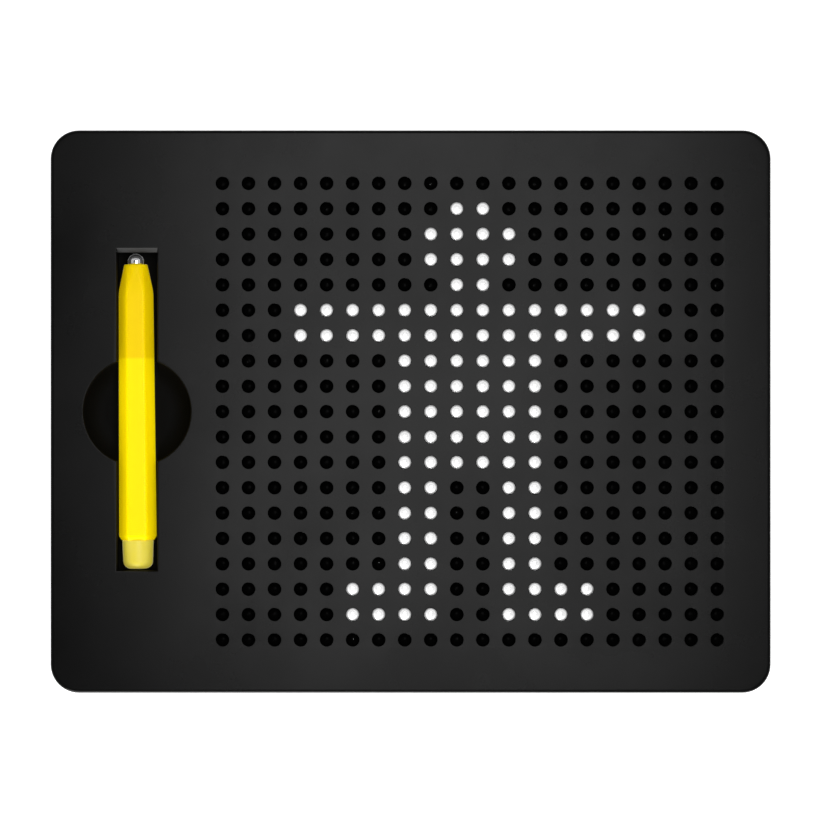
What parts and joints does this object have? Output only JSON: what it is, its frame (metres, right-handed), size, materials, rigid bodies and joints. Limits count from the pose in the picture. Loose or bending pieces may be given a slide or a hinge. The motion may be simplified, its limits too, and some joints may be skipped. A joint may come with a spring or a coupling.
{
  "type": "magnetic bead drawing board",
  "caption": "Flat black drawing board with a grid of captive steel beads and a yellow magnetic stylus lying in a recess beside it.",
  "frame": {"origin": "middle of the flat back face that the board lies on", "axes": "+X to the right across the board's width, +Y towards the board's upper edge as it is read, +Z out of the front face"},
  "size_m": [0.213, 0.1664, 0.0135],
  "materials": {
    "black_abs_front": "satin black ABS with a fine moulded texture",
    "black_abs_rear": "matt black ABS with a moulded texture",
    "black_abs_inner": "black ABS as moulded, inside the case",
    "black_elastomer": "soft black elastomer sheet",
    "screw_steel": "zinc-plated steel",
    "polished_steel": "polished bearing steel",
    "magnet_nickel": "nickel-plated magnet",
    "yellow_plastic": "bright yellow plastic, lightly glossy",
    "pale_yellow_plastic": "paler, slightly milky yellow plastic"
  },
  "bodies": {
    "case": {"front_panel": "black_abs_front", "bead_field": "black_abs_front", "stylus_pocket": "black_abs_front", "rear_cover": "black_abs_rear", "bead_tray": "black_abs_inner", "retainer_sheet": "black_elastomer", "case_screws": "screw_steel"},
    "stylus": {"stylus_barrel": "yellow_plastic", "stylus_end_cap": "pale_yellow_plastic", "stylus_magnet": "magnet_nickel", "stylus_tip_ball": "polished_steel"},
    "raised_beads_row_02": {"raised_beads_row_02": "polished_steel"},
    "raised_beads_row_03": {"raised_beads_row_03": "polished_steel"},
    "raised_beads_row_04": {"raised_beads_row_04": "polished_steel"},
    "raised_beads_row_05": {"raised_beads_row_05": "polished_steel"},
    "raised_beads_row_06": {"raised_beads_row_06": "polished_steel"},
    "raised_beads_row_07": {"raised_beads_row_07": "polished_steel"},
    "raised_beads_row_08": {"raised_beads_row_08": "polished_steel"},
    "raised_beads_row_09": {"raised_beads_row_09": "polished_steel"},
    "raised_beads_row_10": {"raised_beads_row_10": "polished_steel"},
    "raised_beads_row_11": {"raised_beads_row_11": "polished_steel"},
    "raised_beads_row_12": {"raised_beads_row_12": "polished_steel"},
    "raised_beads_row_13": {"raised_beads_row_13": "polished_steel"},
    "raised_beads_row_14": {"raised_beads_row_14": "polished_steel"},
    "raised_beads_row_15": {"raised_beads_row_15": "polished_steel"},
    "raised_beads_row_16": {"raised_beads_row_16": "polished_steel"},
    "raised_beads_row_17": {"raised_beads_row_17": "polished_steel"},
    "raised_beads_row_18": {"raised_beads_row_18": "polished_steel"},
    "lowered_beads_row_01": {"lowered_beads_row_01": "polished_steel"},
    "lowered_beads_row_02": {"lowered_beads_row_02": "polished_steel"},
    "lowered_beads_row_03": {"lowered_beads_row_03": "polished_steel"},
    "lowered_beads_row_04": {"lowered_beads_row_04": "polished_steel"},
    "lowered_beads_row_05": {"lowered_beads_row_05": "polished_steel"},
    "lowered_beads_row_06": {"lowered_beads_row_06": "polished_steel"},
    "lowered_beads_row_07": {"lowered_beads_row_07": "polished_steel"},
    "lowered_beads_row_08": {"lowered_beads_row_08": "polished_steel"},
    "lowered_beads_row_09": {"lowered_beads_row_09": "polished_steel"},
    "lowered_beads_row_10": {"lowered_beads_row_10": "polished_steel"},
    "lowered_beads_row_11": {"lowered_beads_row_11": "polished_steel"},
    "lowered_beads_row_12": {"lowered_beads_row_12": "polished_steel"},
    "lowered_beads_row_13": {"lowered_beads_row_13": "polished_steel"},
    "lowered_beads_row_14": {"lowered_beads_row_14": "polished_steel"},
    "lowered_beads_row_15": {"lowered_beads_row_15": "polished_steel"},
    "lowered_beads_row_16": {"lowered_beads_row_16": "polished_steel"},
    "lowered_beads_row_17": {"lowered_beads_row_17": "polished_steel"},
    "lowered_beads_row_18": {"lowered_beads_row_18": "polished_steel"},
    "lowered_beads_row_19": {"lowered_beads_row_19": "polished_steel"}
  },
  "joints": [
    {"name": "stylus_lift_out", "type": "slide", "parent": "case", "child": "stylus", "axis": [0, 0, 1], "range_m": [0, 0.03]},
    {"name": "raised_row_02_travel", "type": "slide", "parent": "case", "child": "raised_beads_row_02", "axis": [0, 0, 1], "range_m": [-0.0038, 0], "deforming": ["retainer_sheet"]},
    {"name": "raised_row_03_travel", "type": "slide", "parent": "case", "child": "raised_beads_row_03", "axis": [0, 0, 1], "range_m": [-0.0038, 0], "deforming": ["retainer_sheet"]},
    {"name": "raised_row_04_travel", "type": "slide", "parent": "case", "child": "raised_beads_row_04", "axis": [0, 0, 1], "range_m": [-0.0038, 0], "deforming": ["retainer_sheet"]},
    {"name": "raised_row_05_travel", "type": "slide", "parent": "case", "child": "raised_beads_row_05", "axis": [0, 0, 1], "range_m": [-0.0038, 0], "deforming": ["retainer_sheet"]},
    {"name": "raised_row_06_travel", "type": "slide", "parent": "case", "child": "raised_beads_row_06", "axis": [0, 0, 1], "range_m": [-0.0038, 0], "deforming": ["retainer_sheet"]},
    {"name": "raised_row_07_travel", "type": "slide", "parent": "case", "child": "raised_beads_row_07", "axis": [0, 0, 1], "range_m": [-0.0038, 0], "deforming": ["retainer_sheet"]},
    {"name": "raised_row_08_travel", "type": "slide", "parent": "case", "child": "raised_beads_row_08", "axis": [0, 0, 1], "range_m": [-0.0038, 0], "deforming": ["retainer_sheet"]},
    {"name": "raised_row_09_travel", "type": "slide", "parent": "case", "child": "raised_beads_row_09", "axis": [0, 0, 1], "range_m": [-0.0038, 0], "deforming": ["retainer_sheet"]},
    {"name": "raised_row_10_travel", "type": "slide", "parent": "case", "child": "raised_beads_row_10", "axis": [0, 0, 1], "range_m": [-0.0038, 0], "deforming": ["retainer_sheet"]},
    {"name": "raised_row_11_travel", "type": "slide", "parent": "case", "child": "raised_beads_row_11", "axis": [0, 0, 1], "range_m": [-0.0038, 0], "deforming": ["retainer_sheet"]},
    {"name": "raised_row_12_travel", "type": "slide", "parent": "case", "child": "raised_beads_row_12", "axis": [0, 0, 1], "range_m": [-0.0038, 0], "deforming": ["retainer_sheet"]},
    {"name": "raised_row_13_travel", "type": "slide", "parent": "case", "child": "raised_beads_row_13", "axis": [0, 0, 1], "range_m": [-0.0038, 0], "deforming": ["retainer_sheet"]},
    {"name": "raised_row_14_travel", "type": "slide", "parent": "case", "child": "raised_beads_row_14", "axis": [0, 0, 1], "range_m": [-0.0038, 0], "deforming": ["retainer_sheet"]},
    {"name": "raised_row_15_travel", "type": "slide", "parent": "case", "child": "raised_beads_row_15", "axis": [0, 0, 1], "range_m": [-0.0038, 0], "deforming": ["retainer_sheet"]},
    {"name": "raised_row_16_travel", "type": "slide", "parent": "case", "child": "raised_beads_row_16", "axis": [0, 0, 1], "range_m": [-0.0038, 0], "deforming": ["retainer_sheet"]},
    {"name": "raised_row_17_travel", "type": "slide", "parent": "case", "child": "raised_beads_row_17", "axis": [0, 0, 1], "range_m": [-0.0038, 0], "deforming": ["retainer_sheet"]},
    {"name": "raised_row_18_travel", "type": "slide", "parent": "case", "child": "raised_beads_row_18", "axis": [0, 0, 1], "range_m": [-0.0038, 0], "deforming": ["retainer_sheet"]},
    {"name": "lowered_row_01_travel", "type": "slide", "parent": "case", "child": "lowered_beads_row_01", "axis": [0, 0, 1], "range_m": [0, 0.0038], "deforming": ["retainer_sheet"]},
    {"name": "lowered_row_02_travel", "type": "slide", "parent": "case", "child": "lowered_beads_row_02", "axis": [0, 0, 1], "range_m": [0, 0.0038], "deforming": ["retainer_sheet"]},
    {"name": "lowered_row_03_travel", "type": "slide", "parent": "case", "child": "lowered_beads_row_03", "axis": [0, 0, 1], "range_m": [0, 0.0038], "deforming": ["retainer_sheet"]},
    {"name": "lowered_row_04_travel", "type": "slide", "parent": "case", "child": "lowered_beads_row_04", "axis": [0, 0, 1], "range_m": [0, 0.0038], "deforming": ["retainer_sheet"]},
    {"name": "lowered_row_05_travel", "type": "slide", "parent": "case", "child": "lowered_beads_row_05", "axis": [0, 0, 1], "range_m": [0, 0.0038], "deforming": ["retainer_sheet"]},
    {"name": "lowered_row_06_travel", "type": "slide", "parent": "case", "child": "lowered_beads_row_06", "axis": [0, 0, 1], "range_m": [0, 0.0038], "deforming": ["retainer_sheet"]},
    {"name": "lowered_row_07_travel", "type": "slide", "parent": "case", "child": "lowered_beads_row_07", "axis": [0, 0, 1], "range_m": [0, 0.0038], "deforming": ["retainer_sheet"]},
    {"name": "lowered_row_08_travel", "type": "slide", "parent": "case", "child": "lowered_beads_row_08", "axis": [0, 0, 1], "range_m": [0, 0.0038], "deforming": ["retainer_sheet"]},
    {"name": "lowered_row_09_travel", "type": "slide", "parent": "case", "child": "lowered_beads_row_09", "axis": [0, 0, 1], "range_m": [0, 0.0038], "deforming": ["retainer_sheet"]},
    {"name": "lowered_row_10_travel", "type": "slide", "parent": "case", "child": "lowered_beads_row_10", "axis": [0, 0, 1], "range_m": [0, 0.0038], "deforming": ["retainer_sheet"]},
    {"name": "lowered_row_11_travel", "type": "slide", "parent": "case", "child": "lowered_beads_row_11", "axis": [0, 0, 1], "range_m": [0, 0.0038], "deforming": ["retainer_sheet"]},
    {"name": "lowered_row_12_travel", "type": "slide", "parent": "case", "child": "lowered_beads_row_12", "axis": [0, 0, 1], "range_m": [0, 0.0038], "deforming": ["retainer_sheet"]},
    {"name": "lowered_row_13_travel", "type": "slide", "parent": "case", "child": "lowered_beads_row_13", "axis": [0, 0, 1], "range_m": [0, 0.0038], "deforming": ["retainer_sheet"]},
    {"name": "lowered_row_14_travel", "type": "slide", "parent": "case", "child": "lowered_beads_row_14", "axis": [0, 0, 1], "range_m": [0, 0.0038], "deforming": ["retainer_sheet"]},
    {"name": "lowered_row_15_travel", "type": "slide", "parent": "case", "child": "lowered_beads_row_15", "axis": [0, 0, 1], "range_m": [0, 0.0038], "deforming": ["retainer_sheet"]},
    {"name": "lowered_row_16_travel", "type": "slide", "parent": "case", "child": "lowered_beads_row_16", "axis": [0, 0, 1], "range_m": [0, 0.0038], "deforming": ["retainer_sheet"]},
    {"name": "lowered_row_17_travel", "type": "slide", "parent": "case", "child": "lowered_beads_row_17", "axis": [0, 0, 1], "range_m": [0, 0.0038], "deforming": ["retainer_sheet"]},
    {"name": "lowered_row_18_travel", "type": "slide", "parent": "case", "child": "lowered_beads_row_18", "axis": [0, 0, 1], "range_m": [0, 0.0038], "deforming": ["retainer_sheet"]},
    {"name": "lowered_row_19_travel", "type": "slide", "parent": "case", "child": "lowered_beads_row_19", "axis": [0, 0, 1], "range_m": [0, 0.0038], "deforming": ["retainer_sheet"]}
  ]
}
